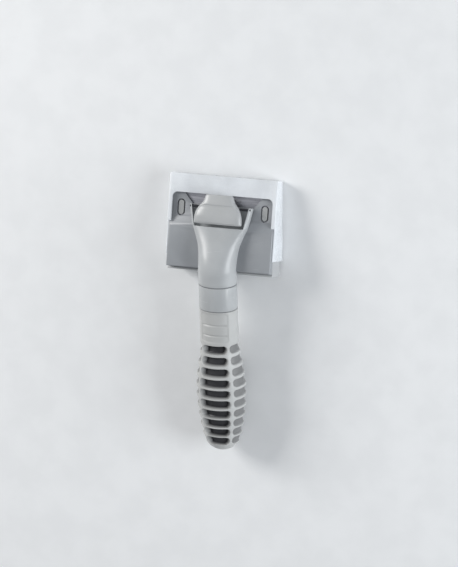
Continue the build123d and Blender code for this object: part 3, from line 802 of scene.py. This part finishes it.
# %% Clamp lever
lever_rows = [
    (29.6, 5.9, 0.0, 16.2, 3.4, 2.7, 3.0),
    (31.5, 5.9, 0.0, 16.2, 4.3, 2.7, 2.8),
    (34.5, 5.9, 0.0, 16.0, 4.8, 2.7, 2.7),
    (37.5, 5.9, 0.0, 15.2, 4.6, 2.7, 2.7),
    (40.2, 5.6, 0.0, 13.7, 4.4, 3.0, 2.9),
    (41.6, 5.2, 0.0, 12.6, 4.2, 3.6, 3.2),
    (42.4, 5.2, 0.0, 11.8, 4.6, 3.8, 3.4),
    (44.5, 5.2, 0.0, 10.2, 4.3, 3.8, 3.6),
    (48.6, 5.8, 0.0, 9.0, 2.9, 2.2, 3.4),
]
lever = lofted("thumb_lever", lever_rows, 80, 0.9, lever_grey)
settle(lever, "clamp_lever")

# %% [markdown]
# ## Housings, guard and collar
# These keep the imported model's outlines, because their shape is exact there.
# A merged copy gets the small edge radius that a mould leaves, which is what
# catches the light along every rim.

# %% Softened copies
def soft_copy(name, node, material, width, segments=2):
    """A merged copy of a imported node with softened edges."""
    source = frame["nodes"][node]
    work = bmesh.new()
    work.from_mesh(source.data)
    bmesh.ops.remove_doubles(work, verts=work.verts, dist=0.00001)
    bmesh.ops.dissolve_limit(work, angle_limit=math.radians(2.0), verts=work.verts, edges=work.edges)
    mesh = bpy.data.meshes.new(name)
    work.to_mesh(mesh)
    work.free()
    piece = link_mesh(name, mesh, (material,))
    softened(piece, width, segments)
    piece.data.shade_smooth()
    piece.data.set_sharp_from_angle(angle=math.radians(35))
    settle(piece, node)


soft_copy("front_housing", "head_front_cover", housing_grey, 0.35)
soft_copy("back_housing", "head_back_shell", back_grey, 0.35)
soft_copy("edge_guard", "blade_guard", guard_milk, 0.3)
soft_copy("collar_ring", "handle_collar", neck_grey, 0.3)
soft_copy("clamp_blade", "blade", blade_steel, 0.05, 1)

# %% [markdown]
# ## Return spring
# The coil under the thumb dome is a wire along a helix, so a geometry tree
# sweeps a small circle along a spiral. Its foot stands on the pocket's floor, so
# it rides on the tool.

# %% Spring tree
SPRING = {"Turns": 4.0, "Height": 4.6, "Coil Radius": 2.5, "Wire Radius": 0.35}
SPRING_AT = 34.0


def spring_tree():
    """A round wire swept along a spiral, in mm."""
    tree, w, given = new_tree(
        "return spring", "GeometryNodeTree",
        [(label, "NodeSocketFloat", value) for label, value in SPRING.items()],
        [("Geometry", "NodeSocketGeometry")])
    spiral = w.node("GeometryNodeCurveSpiral", {"Resolution": 24})
    w.feed(spiral.inputs["Rotations"], given["Turns"])
    w.feed(spiral.inputs["Start Radius"], given["Coil Radius"])
    w.feed(spiral.inputs["End Radius"], given["Coil Radius"])
    w.feed(spiral.inputs["Height"], given["Height"])
    wire = w.node("GeometryNodeCurvePrimitiveCircle", {"Resolution": 10})
    w.feed(wire.inputs["Radius"], given["Wire Radius"])
    swept = w.node("GeometryNodeCurveToMesh", {"Curve": spiral.outputs[0], "Profile Curve": wire.outputs[0]})
    swept.inputs["Fill Caps"].default_value = True
    real = w.node("GeometryNodeRealizeInstances", {"Geometry": swept.outputs[0]})
    done = w.node("GeometryNodeSetMaterial", {"Geometry": real.outputs[0], "Material": wire_steel})
    w.feed(w.node("NodeGroupOutput").inputs["Geometry"], done.outputs[0])
    return tree


HEAD_FRAME = Matrix((ACROSS, HEAD_UP, HEAD_OUT)).transposed().to_4x4()
coil = grown("return spring", spring_tree(), SPRING)
SPRING_FOOT = 0.4
coil_foot = Matrix.Translation(on_head(0, SPRING_AT, POCKET_FLOOR + SPRING_FOOT))
coil.transform(coil_foot @ HEAD_FRAME @ Matrix.Scale(MM, 4))
coil.materials.clear()
spring = link_mesh("return_spring", coil, (wire_steel,), 60.0)
settle(spring, "lever_spring", "tool")
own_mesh(spring)

# %% [markdown]
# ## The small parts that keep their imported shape
# Screws, pegs, pin, seals and pads are already true to size, so only their
# finish is added here.

# %% Finishes for the remaining nodes
plain_finishes = {
    "grip_core": core_black, "seam_rings": seal_grey, "spigot_screw": screw_steel, "head_screws": screw_steel,
    "neck_screws": screw_steel, "blade_pegs": peg_grey, "blade_seat_strip": pad_black, "clamp_pad": pad_black,
    "lever_pin": shade_dark_pin_steel,
}
for name, material in plain_finishes.items():
    for slot in frame["nodes"][name].material_slots:
        slot.material = material
print("finished nodes", len(plain_finishes))
